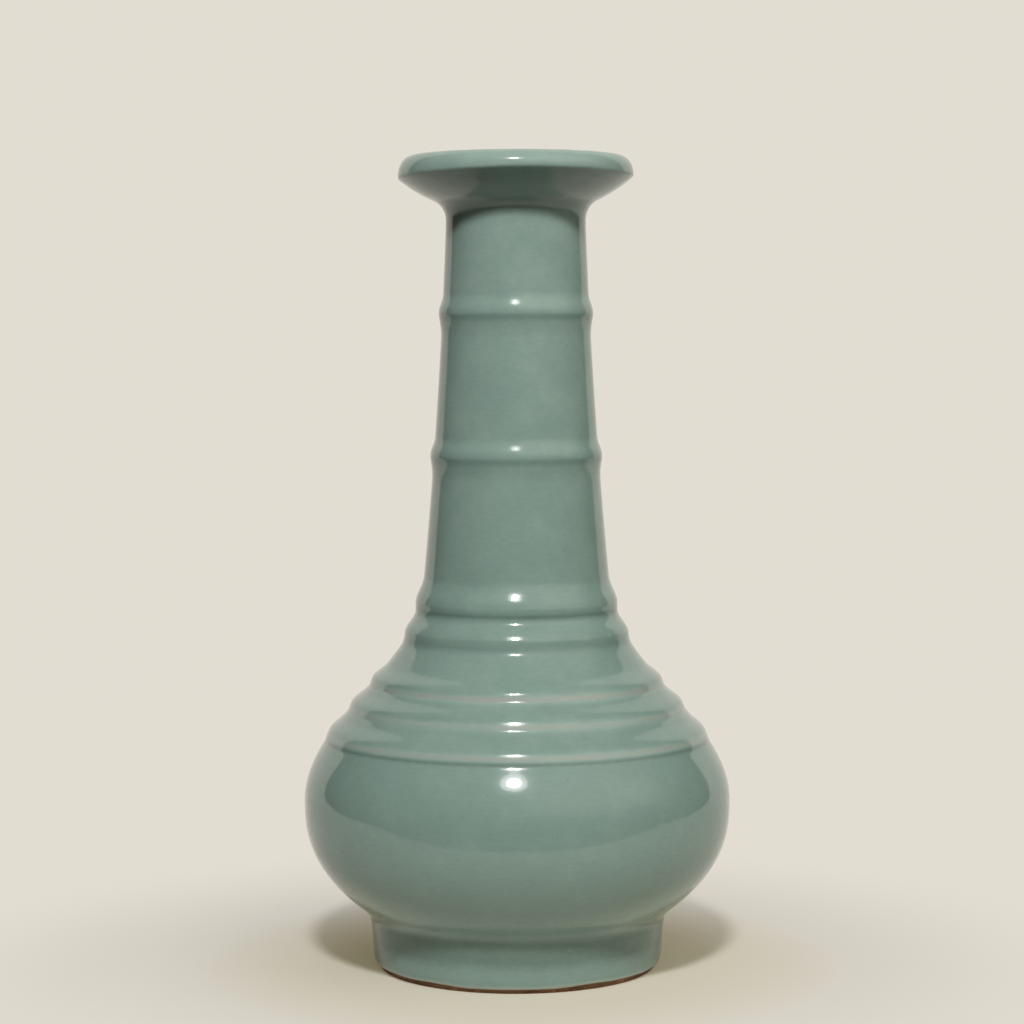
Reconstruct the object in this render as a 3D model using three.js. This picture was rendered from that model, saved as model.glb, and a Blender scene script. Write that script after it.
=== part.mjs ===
/*
 * Dish-mouth vase in celadon-glazed stoneware: a ring foot, a round belly, a ribbed shoulder, a long neck
 * with two bamboo-like nodes and a shallow dish with a rolled lip.
 *
 * The clay is five thrown sections joined with slip. Three coats of glaze lie on it, thin over the crests
 * of the ribs and thick between them. The glazed outside drives every other surface, which lies at a depth
 * below it.
 * Millimetres, +Z up, the origin on the table at the centre of the foot.
 */
import * as THREE from 'three';

// Heights of the glazed outside, stacked from the table up
const FOOT_HEIGHT = 17.6; // table to the crease under the belly
const BELLY_RISE = 36.5; // crease to the widest level
const SHOULDER_RISE = 69.9; // widest level to the base of the neck
const NECK_RISE = 114.4; // base of the neck to its narrow top
const COLLAR_RISE = 2.2; // narrow top of the neck to the start of the dish

// Radii of the glazed outside
const FOOT_RADIUS = 46.8;
const BELLY_RADIUS = 68.8;
const NECK_BASE_RADIUS = 30.1;
const NECK_TOP_RADIUS = 22.5;
const MOUTH_RADIUS = 37.8;

// Curves of the glazed outside
const FOOT_FLARE = 0.8; // how far the foot spreads up to the crease
const FLARE_POWER = 5; // a higher power keeps the flare closer to the crease
const CORNER_WIDTH = 3.3; // rounded lower corner of the foot
const CORNER_HEIGHT = 5;
const BELLY_FULLNESS = 2.5; // power of the belly's curve: a higher one is rounder
const NECK_DRAW_IN = 0.85; // how far the middle of the neck lies inside a straight taper
const DISH_FILLET = 7.7; // hollow between neck and dish
const DISH_SWELL = 56; // radius of the slight swell of the dish's underside
const DISH_SLOPE = THREE.MathUtils.degToRad(43); // rise of the underside where it reaches the lip
const LIP_ROLL = 4.6; // radius of the rolled lip
const LIP_EDGE = 1.2; // radius of the crisp edge under the roll
const LIP_TURN = THREE.MathUtils.degToRad(-5); // where the roll turns into that edge, against the level
const CREST_ROUND = 0.6; // how far the crests of ribs and nodes are rounded

// Turned ribs and nodes: the height of the crest, its relief, and its reach up and down to plain wall
const SHOULDER_RIBS = [ // heights above the widest level
  { height: 23.2, relief: 1.1, reachUp: 4, reachDown: 4.4 },
  { height: 32.3, relief: 1.2, reachUp: 3, reachDown: 4 },
  { height: 40.1, relief: 1.4, reachUp: 3.2, reachDown: 4.9 },
];
const COLLAR_RIBS = [ // heights above the base of the neck, so below it where negative
  { height: -14.8, relief: 1.55, reachUp: 6.6, reachDown: 4.8 },
  { height: -5.5, relief: 1.9, reachUp: 6.3, reachDown: 9.5 },
];
const NECK_NODES = [ // heights above the base of the neck
  { height: 41.2, relief: 1.12, reachUp: 5.2, reachDown: 7.1 },
  { height: 87.5, relief: 1.15, reachUp: 5.8, reachDown: 7.4 },
];

// Clay
const WALL = 4;
const FLOOR_THICKNESS = 6;
const FLOOR_CORNER = 6; // width of the soft corner between floor and wall
const RECESS_HEIGHT = 14; // hollow under the foot
const RECESS_TAPER = 1.2; // how much narrower the hollow is at its top
const RIM_WIDTH = 5.5; // flat ring that stands on the table

// Slip joins
const LUTE = 0.7; // thickness of the slip
const LUTE_BEVEL = 1.5; // rise of a join from the outside of the wall to the inside

// Glaze
const OUTER_COAT = 0.9;
const CREST_COAT = 0.35; // what stays of the outer coat on the crest of a rib
const LIP_COAT = 0.5;
const INNER_COAT = 0.5;
const BASE_COAT = 0.6;
const GLAZE_LINE = 1.4; // bare height of the foot outside
const BASE_GLAZE_LINE = 2; // bare height of the foot inside the hollow

// Facets: steps around, and steps along the outline of the glaze and of the clay under it
const FACETS = 32;
const GLAZE_STEPS = { flank: 2, shoulder: 5, neck: 16, belly: 7, fillet: 3, swell: 3, edge: 2, lip: 5 };
const CLAY_STEPS = { flank: 1, shoulder: 9, neck: 40, belly: 3, fillet: 2, swell: 1, edge: 1, lip: 2 };
const INSIDE_STEPS = { shoulder: 4, neck: 2, belly: 3, fillet: 2, lip: 3 };
const BELLY_EASE = 1.4; // crowds the belly's steps towards the crease, where it curves most
const MEETING_SHARE = 0.85; // where overlapping ridges part: from the upper one's foot to the lower one's top
const SLOPE_STEP = 0.05; // half of the height over which a slope is taken

// Levels that the sections share
const WIDEST_LEVEL = FOOT_HEIGHT + BELLY_RISE;
const NECK_LEVEL = WIDEST_LEVEL + SHOULDER_RISE;
const COLLAR_LEVEL = NECK_LEVEL + NECK_RISE;
const FILLET_LEVEL = COLLAR_LEVEL + COLLAR_RISE;
const FLOOR_LEVEL = RECESS_HEIGHT + FLOOR_THICKNESS;

// Depths below the glazed outside at which the inner surfaces lie
const CLAY_DEPTH = OUTER_COAT + WALL;
const BORE_DEPTH = CLAY_DEPTH + INNER_COAT;

// Angle at which the underside of the dish turns into the edge of the lip, and the arcs on both sides of it
const EDGE_START = DISH_SLOPE - Math.PI / 2;
const DISH = dishArcs();

const RIDGES = [
  ...raised(SHOULDER_RIBS, WIDEST_LEVEL),
  ...raised(COLLAR_RIBS, NECK_LEVEL),
  ...raised(NECK_NODES, NECK_LEVEL),
];

const GLAZE = new THREE.MeshStandardMaterial({ color: 0x82988e, roughness: 0.12, metalness: 0 });
const STONEWARE = new THREE.MeshStandardMaterial({ color: 0x7b5a42, roughness: 0.85, metalness: 0 });
const SLIP = new THREE.MeshStandardMaterial({ color: 0x8d6f57, roughness: 0.9, metalness: 0 });

/** Ridges with the levels of their crest, top and foot, counted from the table and not from a base. */
function raised(ridges, base) {
  return ridges.map((ridge) => {
    const level = base + ridge.height;
    const top = level + ridge.reachUp + CREST_ROUND;
    const foot = level - ridge.reachDown - CREST_ROUND;
    return { ...ridge, level, top, foot };
  });
}

/** Point at a distance from a centre, in the direction of an angle against the level. */
function polar(centre, distance, angle) {
  return new THREE.Vector2(centre.x + distance * Math.cos(angle), centre.y + distance * Math.sin(angle));
}

/** Centres of the dish's arcs, each of which touches the next, and the angle at which its swell starts. */
function dishArcs() {
  const lip = new THREE.Vector2(MOUTH_RADIUS - LIP_ROLL, 0);
  const edge = polar(lip, LIP_ROLL - LIP_EDGE, LIP_TURN);
  const swell = polar(edge, LIP_EDGE - DISH_SWELL, EDGE_START);
  const reach = DISH_SWELL + DISH_FILLET;
  const swellStart = -Math.acos((NECK_TOP_RADIUS + DISH_FILLET - swell.x) / reach);
  const fillet = polar(swell, reach, swellStart);
  const rise = FILLET_LEVEL - fillet.y;
  for (const centre of [lip, edge, swell, fillet]) centre.y += rise;
  return { lip, edge, swell, fillet, swellStart };
}

/**
 * Share of a ridge that stands at a level: 1 on its rounded crest, from there up a squared cosine, and down
 * one less a sine, which is steepest at the crest.
 */
function ridgeShare(ridge, level) {
  const away = Math.hypot(level - ridge.level, CREST_ROUND) - CREST_ROUND;
  const turn = (reach) => Math.min(1, away / reach) * Math.PI / 2;
  if (level > ridge.level) return Math.cos(turn(ridge.reachUp)) ** 2;
  return 1 - Math.sin(turn(ridge.reachDown));
}

/** Foot: a wall that flares to the crease, with a quarter of an ellipse for its lower corner. */
function footRadius(level) {
  const below = Math.min(1, Math.max(0, 1 - level / CORNER_HEIGHT));
  const corner = CORNER_WIDTH * (1 - Math.sqrt(1 - below ** 2));
  return FOOT_RADIUS + FOOT_FLARE * (level / FOOT_HEIGHT) ** FLARE_POWER - corner;
}

/** Belly: a swelling curve from the crease to the widest level. */
function bellyRadius(level) {
  const crease = FOOT_RADIUS + FOOT_FLARE;
  const under = (WIDEST_LEVEL - level) / BELLY_RISE;
  return crease + (BELLY_RADIUS - crease) * (1 - under ** BELLY_FULLNESS);
}

/** Shoulder: half a cosine wave from the widest level down to the radius of the neck. */
function shoulderRadius(level) {
  const share = (level - WIDEST_LEVEL) / SHOULDER_RISE;
  return NECK_BASE_RADIUS + (BELLY_RADIUS - NECK_BASE_RADIUS) * (1 + Math.cos(share * Math.PI)) / 2;
}

/** Neck: a taper drawn in at the middle, upright above the narrow top. */
function neckRadius(level) {
  const share = Math.min(1, (level - NECK_LEVEL) / NECK_RISE);
  const taper = THREE.MathUtils.lerp(NECK_BASE_RADIUS, NECK_TOP_RADIUS, share);
  return taper - 4 * NECK_DRAW_IN * share * (1 - share);
}

/** Radius of the glazed outside without its ribs and nodes. */
function smoothRadius(level) {
  if (level < FOOT_HEIGHT) return footRadius(level);
  if (level < WIDEST_LEVEL) return bellyRadius(level);
  if (level < NECK_LEVEL) return shoulderRadius(level);
  return neckRadius(level);
}

/** Radius of the glazed outside. */
function glazedRadius(level) {
  const relief = RIDGES.reduce((sum, ridge) => sum + ridge.relief * ridgeShare(ridge, level), 0);
  return smoothRadius(level) + relief;
}

/** Thickness of the outer coat, which runs thin over the crests and towards the bare rim. */
function outerCoat(level) {
  const crest = Math.max(...RIDGES.map((ridge) => ridgeShare(ridge, level)));
  return THREE.MathUtils.lerp(OUTER_COAT, CREST_COAT, crest) * Math.min(1, level / CORNER_HEIGHT);
}

/** Point at a depth below an outline, square to it at a level. */
function below(outline, level, depth) {
  const slope = (outline(level + SLOPE_STEP) - outline(level - SLOPE_STEP)) / (2 * SLOPE_STEP);
  const inwards = new THREE.Vector2(-1, slope).normalize();
  return new THREE.Vector2(outline(level), level).addScaledVector(inwards, depth);
}

const glazePoint = (level) => below(glazedRadius, level, 0);
const clayPoint = (level) => below(glazedRadius, level, outerCoat(level));

/** Levels from low to high, closer together at the low end where the ease is over 1. */
function spread(low, high, steps, ease = 1) {
  return Array.from({ length: steps + 1 }, (_, i) => low + (high - low) * (i / steps) ** ease);
}

/** Points on an arc, from one angle to another. */
function arc(centre, radius, from, to, steps) {
  return spread(from, to, steps).map((angle) => polar(centre, radius, angle));
}

/** Levels that catch each ridge's crest and edges; edges that overlap a neighbour's meet in one level. */
function ribbedLevels(low, high, flankSteps, plainStep) {
  const keys = [low, RIDGES[0].foot];
  RIDGES.forEach(({ level, top }, i) => {
    const nextFoot = RIDGES[i + 1]?.foot ?? high;
    const meeting = THREE.MathUtils.lerp(nextFoot, top, MEETING_SHARE);
    keys.push(level, ...(top < nextFoot ? [top, nextFoot] : [meeting]));
  });
  const inside = [low, ...keys.filter((level) => level > low && level < high), high];
  const crests = new Set(RIDGES.map((ridge) => ridge.level));
  const levels = [low];
  for (let i = 1; i < inside.length; i += 1) {
    const flank = crests.has(inside[i - 1]) || crests.has(inside[i]);
    const steps = flank ? flankSteps : Math.ceil((inside[i] - inside[i - 1]) / plainStep);
    levels.push(...spread(inside[i - 1], inside[i], steps).slice(1));
  }
  return levels;
}

/** Fillet from the upright neck to the start of the dish's swell, at a depth below the glazed outside. */
function dishFillet(depth, steps) {
  return arc(DISH.fillet, DISH_FILLET + depth, Math.PI, Math.PI + DISH.swellStart, steps);
}

/** Underside of the dish and its lip up to the crest, at a depth below the glaze. */
function dishUnderside(depth, lipDepth, steps) {
  return [
    ...dishFillet(depth, steps.fillet),
    ...arc(DISH.swell, DISH_SWELL - depth, DISH.swellStart, EDGE_START, steps.swell).slice(1, -1),
    ...arc(DISH.edge, LIP_EDGE - lipDepth, EDGE_START, LIP_TURN, steps.edge),
    ...arc(DISH.lip, LIP_ROLL - lipDepth, LIP_TURN, Math.PI / 2, steps.lip).slice(1),
  ];
}

/** Inside of the dish from the neck's bore up to the lip's crest, at a depth below the glazed underside. */
function dishInside(depth, lipDepth) {
  const roll = LIP_ROLL - lipDepth;
  const apart = DISH.swell.clone().sub(DISH.lip);
  const excess = apart.lengthSq() + roll ** 2 - (DISH_SWELL - depth) ** 2;
  const meeting = apart.angle() + Math.acos(excess / (2 * roll * apart.length()));
  return [
    ...dishFillet(depth, INSIDE_STEPS.fillet),
    ...arc(DISH.lip, roll, meeting, Math.PI / 2, INSIDE_STEPS.lip),
  ];
}

/** Outside of the clay, section by section, each from its lower join to its upper join. */
function clayOutside() {
  const half = LUTE / 2;
  const steps = CLAY_STEPS;
  return {
    foot: [GLAZE_LINE, CORNER_HEIGHT, FOOT_HEIGHT - half].map(clayPoint),
    lower: spread(FOOT_HEIGHT + half, WIDEST_LEVEL - half, steps.belly, BELLY_EASE).map(clayPoint),
    upper: ribbedLevels(WIDEST_LEVEL + half, NECK_LEVEL - half, steps.flank, steps.shoulder).map(clayPoint),
    neck: ribbedLevels(NECK_LEVEL + half, COLLAR_LEVEL - half, steps.flank, steps.neck).map(clayPoint),
    mouth: [clayPoint(COLLAR_LEVEL + half), ...dishUnderside(OUTER_COAT, LIP_COAT, steps)],
  };
}

/** Inside of the wall at a depth below the smooth outside, section by section, from floor to crest. */
function wallInside(depth, floorLevel, lipDepth) {
  const half = LUTE / 2;
  const point = (level) => below(smoothRadius, level, depth);
  const rise = LUTE_BEVEL + half;
  const wall = (low, high, steps) => spread(low + rise, high + rise - LUTE, steps).map(point);
  const belly = wall(FLOOR_LEVEL, WIDEST_LEVEL, INSIDE_STEPS.belly);
  return {
    lower: [new THREE.Vector2(belly[0].x - FLOOR_CORNER, floorLevel), ...belly],
    upper: wall(WIDEST_LEVEL, NECK_LEVEL, INSIDE_STEPS.shoulder),
    neck: wall(NECK_LEVEL, COLLAR_LEVEL, INSIDE_STEPS.neck),
    mouth: [point(COLLAR_LEVEL + rise), ...dishInside(depth, lipDepth)],
  };
}

/** Glazed outside from the glaze line up to the crest of the lip. */
function glazeOutside() {
  const steps = GLAZE_STEPS;
  return [
    ...[GLAZE_LINE, (GLAZE_LINE + CORNER_HEIGHT) / 2, CORNER_HEIGHT, FOOT_HEIGHT / 2].map(glazePoint),
    ...spread(FOOT_HEIGHT, WIDEST_LEVEL, steps.belly, BELLY_EASE).map(glazePoint),
    ...ribbedLevels(WIDEST_LEVEL, NECK_LEVEL, steps.flank, steps.shoulder).slice(1).map(glazePoint),
    ...ribbedLevels(NECK_LEVEL, COLLAR_LEVEL, steps.flank, steps.neck).slice(1).map(glazePoint),
    ...dishUnderside(0, 0, steps),
  ];
}

/** Named solid of revolution. The section runs anticlockwise: out, up the outside, down the inside. */
function turned(name, section, material) {
  const closed = section[0].x === 0 ? section : [...section, section[0]];
  const geometry = new THREE.LatheGeometry(closed, FACETS).rotateX(Math.PI / 2);
  const mesh = new THREE.Mesh(geometry, material);
  mesh.name = name;
  return mesh;
}

/** Wall of a thrown section between its outside and its inside, both listed from the bottom up. */
function thrown(name, outside, inside) {
  return turned(name, [...outside, ...[...inside].reverse()], STONEWARE);
}

/** Slip in the join between two walls. */
function lute(name, lowerOutside, upperOutside, lowerInside, upperInside) {
  return turned(name, [lowerOutside.at(-1), upperOutside[0], upperInside[0], lowerInside.at(-1)], SLIP);
}

const outside = clayOutside();
const inside = wallInside(CLAY_DEPTH, FLOOR_LEVEL, LIP_COAT);
const bore = wallInside(BORE_DEPTH, FLOOR_LEVEL + INNER_COAT, 0);

// Foot ring: its flat rim, its bare and glazed wall, and the tapered hollow inside it
const rimOuter = new THREE.Vector2(footRadius(0), 0);
const rimInner = new THREE.Vector2(rimOuter.x - RIM_WIDTH, 0);
const recessCorner = new THREE.Vector2(rimInner.x - RECESS_TAPER, RECESS_HEIGHT);
const recessSeat = new THREE.Vector2(recessCorner.x, RECESS_HEIGHT - LUTE);
const recessGlazeLine = rimInner.clone().lerp(recessSeat, BASE_GLAZE_LINE / recessSeat.y);

const footRing = turned(
  'foot_ring',
  [rimInner, rimOuter, ...outside.foot, recessSeat, recessGlazeLine],
  STONEWARE,
);
const footLute = lute('foot_lute', outside.foot, outside.lower, [recessSeat], [recessCorner]);

// Lower body: the floor over the hollow of the foot, and the wall up to the widest level
const lowerBody = turned(
  'lower_body',
  [
    new THREE.Vector2(0, RECESS_HEIGHT),
    recessCorner,
    ...outside.lower,
    ...[...inside.lower].reverse(),
    new THREE.Vector2(0, FLOOR_LEVEL),
  ],
  STONEWARE,
);

const bellyLute = lute('belly_lute', outside.lower, outside.upper, inside.lower, inside.upper);
const upperBody = thrown('upper_body', outside.upper, inside.upper);
const neckLute = lute('neck_lute', outside.upper, outside.neck, inside.upper, inside.neck);
const neck = thrown('neck', outside.neck, inside.neck);
const mouthLute = lute('mouth_lute', outside.neck, outside.mouth, inside.neck, inside.mouth);
const dishMouth = thrown('dish_mouth', outside.mouth, inside.mouth.slice(0, -1));

// Outer glaze: from the bare rim of the foot to the crest of the lip
const outerGlaze = turned(
  'outer_glaze',
  [...glazeOutside(), ...Object.values(outside).flat().reverse()],
  GLAZE,
);

// Inner glaze: from the crest of the lip down the dish and the neck to the floor
const innerGlaze = turned(
  'inner_glaze',
  [
    new THREE.Vector2(0, FLOOR_LEVEL),
    ...Object.values(inside).flat(),
    ...Object.values(bore).flat().reverse(),
    new THREE.Vector2(0, FLOOR_LEVEL + INNER_COAT),
  ],
  GLAZE,
);

// Base glaze: the roof and the wall of the hollow under the foot
const baseGlaze = turned(
  'base_glaze',
  [
    new THREE.Vector2(0, RECESS_HEIGHT - BASE_COAT),
    new THREE.Vector2(recessCorner.x - BASE_COAT, RECESS_HEIGHT - BASE_COAT),
    new THREE.Vector2(recessGlazeLine.x - BASE_COAT, recessGlazeLine.y),
    recessGlazeLine,
    recessSeat,
    recessCorner,
    new THREE.Vector2(0, RECESS_HEIGHT),
  ],
  GLAZE,
);

const vase = new THREE.Group();
vase.name = 'dish_mouth_vase';
vase.add(footRing, footLute, lowerBody, bellyLute, upperBody, neckLute, neck, mouthLute, dishMouth);
vase.add(outerGlaze, innerGlaze, baseGlaze);

export default vase;
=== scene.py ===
"""Looks of a dish-mouth vase in celadon-glazed stoneware, and the small studio that it stands in.

The glaze is one coat that runs from the bare rim of the foot up the outside, over the lip and down to
the floor inside. It, the bare foot and the glazed hollow under the foot are fine surfaces of revolution
with the slight unevenness of hand work. The thrown sections and slip joins under the glaze stay as they
are and get their finish. Sizes of the vase are in millimetres, those of the studio in metres.
"""
import math

import bpy
import numpy as np
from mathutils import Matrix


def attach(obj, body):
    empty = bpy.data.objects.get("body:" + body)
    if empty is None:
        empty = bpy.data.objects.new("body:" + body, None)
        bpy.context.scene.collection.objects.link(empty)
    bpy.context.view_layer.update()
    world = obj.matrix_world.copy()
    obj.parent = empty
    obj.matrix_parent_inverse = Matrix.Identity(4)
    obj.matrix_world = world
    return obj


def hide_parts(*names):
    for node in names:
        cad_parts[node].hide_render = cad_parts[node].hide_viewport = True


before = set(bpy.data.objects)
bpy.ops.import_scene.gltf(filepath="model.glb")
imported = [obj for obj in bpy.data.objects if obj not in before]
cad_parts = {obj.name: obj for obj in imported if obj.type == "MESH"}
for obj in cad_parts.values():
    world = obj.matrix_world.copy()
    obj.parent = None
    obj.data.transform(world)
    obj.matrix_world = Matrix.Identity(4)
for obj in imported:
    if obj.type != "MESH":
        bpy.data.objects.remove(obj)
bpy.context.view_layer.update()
MM = 0.001

# Heights and radii of the glazed outside
FOOT_HEIGHT = 17.6
BELLY_RISE = 36.5
SHOULDER_RISE = 69.9
NECK_RISE = 114.4
COLLAR_RISE = 2.2
FOOT_RADIUS = 46.8
BELLY_RADIUS = 68.8
NECK_BASE_RADIUS = 30.1
NECK_TOP_RADIUS = 22.5
MOUTH_RADIUS = 37.8

# Curves of the glazed outside
FOOT_FLARE = 0.8
FLARE_POWER = 5
CORNER_WIDTH = 3.3
CORNER_HEIGHT = 5
BELLY_FULLNESS = 2.5
NECK_DRAW_IN = 0.85
DISH_FILLET = 7.7
DISH_SWELL = 56  # radius of the slight swell of the dish's underside
DISH_SLOPE = math.radians(43)
LIP_ROLL = 4.6
LIP_EDGE = 1.2  # radius of the crisp edge under the roll
LIP_TURN = math.radians(-5)
CREASE_POOL = 1.2  # half height of the glaze that fills the crease under the belly
FOOT_RUN = 0.6  # thickness of the glaze that ran down over the crease
FOOT_RUN_RISE = 2.5  # how far up the belly it reaches

# Clay
WALL = 4
FLOOR_THICKNESS = 6
FLOOR_CURL = 9  # power of the radius by which the floor curls up to the wall
RECESS_HEIGHT = 14
RECESS_TAPER = 1.2
RIM_WIDTH = 5.5
RIM_EASE = 0.5  # how far the edges of the rim are worn round
LUTE = 0.7

# Glaze
OUTER_COAT = 0.9
CREST_COAT = 0.35
EDGE_COAT = 0.25  # at the lower edge of the coat
EDGE_ROWS = (0, 0.1, 0.35, 0.8)  # heights of the rows on that rounded edge, as shares of its thickness
EDGE_LINE = 1.2  # how far up from there the coat is thin
LIP_COAT = 0.5
INNER_COAT = 0.5
POOLED_COAT = 2  # where it gathered in the belly
BASE_COAT = 0.6
GLAZE_LINE = 1.3
BASE_GLAZE_LINE = 2
POOLING = 2.4  # millimetres of coat gained in a hollow of unit curvature per millimetre
DISH_PAINTED_SHADE = 0.7  # painted shade on the underside of the dish, as coat that darkens the glaze
DISH_SHADE_START = 2  # height above the start of the fillet at which that begins
DISH_SHADE_RISE = 4  # height over which it comes in
FOOT_PAINTED_SHADE = 0.9  # painted shade on the foot below the crease, under the belly's overhang, as coat that darkens the glaze
DOWNWARD_DARKENING = 0.4  # how much more coat the colour reads at the foot than at the lip: the glaze is darker towards the bottom and paler towards the top
COAT_RANGE = (0.1, 1.8)

# Hand work: waves per turn, height, phase, and the rise in level that turns a wave by a radian
HAND_WAVES = ((2, 0.05, 0.9, 90), (3, 0.035, 2.1, -47), (5, 0.02, 0, 23))

# Lower edge of the glaze: how far it lies above its line, and its waves per turn, height and phase
GLAZE_EDGE_RISE = 0.25
GLAZE_EDGE_WAVES = ((4, 0.3, 5.07), (11, 0.12, 0.4), (17, 0.08, 1))

# Sag of the dish
DISH_SAG = 0.78  # half of how far it hangs at its two sides
DISH_LEAN = 0.4  # how much more it hangs at the left, and less at the right

# Levels that the sections share, and depths below the glazed outside
WIDEST_LEVEL = FOOT_HEIGHT + BELLY_RISE
NECK_LEVEL = WIDEST_LEVEL + SHOULDER_RISE
COLLAR_LEVEL = NECK_LEVEL + NECK_RISE
FILLET_LEVEL = COLLAR_LEVEL + COLLAR_RISE
FLOOR_LEVEL = RECESS_HEIGHT + FLOOR_THICKNESS
SEAT_LEVEL = RECESS_HEIGHT - LUTE  # top of the foot ring's inner wall
CLAY_DEPTH = OUTER_COAT + WALL
BORE_DEPTH = CLAY_DEPTH + INNER_COAT

# Turned ribs of the shoulder: level of the crest, relief, reach up, reach down to the notch under the rib,
# how much coat gathered above the notch, as pooled glaze and painted shade together, and how far below the
# crest the coat is thinnest
RIBS = (
    (WIDEST_LEVEL + 23.2, 1.3, 4.6, 4, 0.7, 1.6),
    (WIDEST_LEVEL + 32.3, 1.3, 4, 3.2, 0.1, 2.2),
    (WIDEST_LEVEL + 40.1, 1.4, 4, 2.9, 0, 2.2),
)
RIB_FALL = 1.3  # power of the distance that a rib falls by
NOTCH_EASE = 0.2  # how far the notch is rounded, as a share of the relief
NOTCH_LINE = 0.6  # half height of the line of gathered coat, pooled glaze and painted shade together
NOTCH_DROP = 0.82  # place of that line between the crest and the notch
THIN_LINE = 1.25  # half height of the band where the coat ran thin
THIN_LOSS = 0.5

# Rings of the collar and nodes of the neck: level of the crest, relief, reach up, reach down to where the
# ring runs out, how much coat gathered under the crest, as pooled glaze and painted shade together, and how
# far below it
RINGS = (
    (NECK_LEVEL - 14.8, 1.7, 5.8, 4.8, 0.4, 3),
    (NECK_LEVEL - 5.5, 1.85, 7.6, 9.5, 0.8, 2.6),
    (NECK_LEVEL + 41.2, 1.12, 5.8, 7.1, 0.5, 1.2),
    (NECK_LEVEL + 86.8, 1.12, 6.1, 7.4, 0.5, 1.2),
)
RING_RISE = 2.5  # power of the cosine that a ring rises by
RING_ROUND = 0.7  # how far the crest of a ring is rounded
RING_LINE = 1  # half height of the coat gathered under a ring, pooled glaze and painted shade together

# Mesh
COLUMNS = 108  # steps round the axis
EDGE_STEP = 0.15  # at a notch and along the crest of a ring
EDGE_SPREAD = 1.2  # distance from there at which half of the extra steps are lost
FINE_STEP = 0.7  # along the ribbed outside
PLAIN_STEP = 1.2  # along plain curves
HIDDEN_STEP = 5  # on the side towards the clay
SLOPE_STEP = 0.05  # half of the height over which a slope is taken
SHORTEST_STEP = 0.05  # shortest step that a curvature is taken over
SOFTENED_POINTS = 7  # points that a curvature is softened over
SHARP_EDGE = math.radians(50)
ANGLES = np.arange(COLUMNS) * (2 * np.pi / COLUMNS)

# Patterns of the finishes
GLAZE_CLOUD = 12
GLAZE_RIPPLE = 6
GLAZE_BUBBLES = 2.5  # clusters of them, because single bubbles are too fine to show
BUBBLE_DRAW = (1, 1, 3)  # how much finer they are along each axis, being drawn out round the vase
MOTTLE_SHARE = 0.18  # share of the bubbles in the glaze's colour
CLOUD_GAIN = 0.5  # coat that the brightest part of the cloud stands for
SHADE_RANGE = (0.35, 2.05)  # coats, with the cloud's, at the two ends of the glaze's colours
SPECK_SPACING = 3
SPECKLESS = 0.8  # share of the places that hold no speck
SPECK_REACH = 0.11  # radius of the largest speck, as a share of the spacing
SPECK_SHARE = 0.3  # share of its own colour that a speck shows
CLAY_PATCH = 9
CLAY_GRAIN = 0.7
SLIP_PATCH = 4

# Studio
CAMERA_PLACE = (-0.0013, -0.8858, 0.2007)
CAMERA_PITCH = math.radians(3.475)
CAMERA_ROLL = math.radians(0.13)
CAMERA_LENS = 96.68
KEY_PLACE = (-0.04, -1.1, 1.19)
KEY_TILT = math.radians(46)
KEY_LAMPS = {"key_core": (0.17, 16.1), "key_glow": (0.36, 1.7)}  # metres and watts
ROOM_LEVEL = 0.02
OVERHEAD_LEVEL = 0.2
OVERHEAD_RISE = (0.35, 0.95)  # sines of the angles between which the room brightens overhead
SIDE_LEVEL = 1  # brightest part of the room, on the right
SIDE_TURN = math.radians(44)
SIDE_RISE = math.radians(15)
SIDE_REACH = math.radians(62)
SIDE_FOOT = (0.05, 0.4)  # sines of the angles between which that part begins
PAPER_FADE = (0.045, 0.21)  # distances from the vase between which the floor turns into the even backdrop
PAPER_SHARE = 0.24  # share of the even backdrop in the floor at the vase: a painted light that lifts the floor's shadow
PAINTED_SHADOW_TINT = (0.06, 0.105)  # distances between which its yellow tint at the vase fades: a painted warm light in the floor's shadow
PAPER_PAINTED_SHADE = (-0.35, -0.12)  # from where the paper's colour darkens to the left, out of view, as painted shade
WALL_DISTANCE = 1.15
WALL_HALF_WIDTH = 1.53
WALL_HEIGHT = 3.5
COVE_RADIUS = 0.35
FLOOR_EDGE = (0.5, 0.3, 0.1)  # half width, depth and middle of the rounded front edge of the floor
FLOOR_EDGE_TURN = math.radians(80)
SURROUND_RADIUS = 8
SURROUND_HOLE = 0.001  # radius of the hole in its middle, under the sweep
SURROUND_DROP = 0.002
STAGE_COLUMNS = 65
FLOOR_ROWS = 33
WALL_ROWS = 9


def foot_radius(level):
    """Foot: a wall that flares by a power of the height, with a quarter of an ellipse for its lower
    corner."""
    under = np.clip(1 - level / CORNER_HEIGHT, 0, 1)
    corner = CORNER_WIDTH * (1 - np.sqrt(1 - under**2))
    return FOOT_RADIUS + FOOT_FLARE * (level / FOOT_HEIGHT) ** FLARE_POWER - corner


def belly_radius(level):
    """Belly: from the crease to the widest level, short of it by a power of the distance below it."""
    crease = FOOT_RADIUS + FOOT_FLARE
    under = np.clip((WIDEST_LEVEL - level) / BELLY_RISE, 0, 1)
    return crease + (BELLY_RADIUS - crease) * (1 - under**BELLY_FULLNESS)


def shoulder_radius(level):
    """Shoulder: half a cosine wave from the widest level to the base of the neck."""
    share = (level - WIDEST_LEVEL) / SHOULDER_RISE
    return NECK_BASE_RADIUS + (BELLY_RADIUS - NECK_BASE_RADIUS) * (1 + np.cos(share * np.pi)) / 2


def neck_radius(level):
    """Neck: a straight taper less a parabola, upright above its narrow top."""
    share = np.minimum((level - NECK_LEVEL) / NECK_RISE, 1)
    taper = NECK_BASE_RADIUS + (NECK_TOP_RADIUS - NECK_BASE_RADIUS) * share
    return taper - 4 * NECK_DRAW_IN * share * (1 - share)


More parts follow.
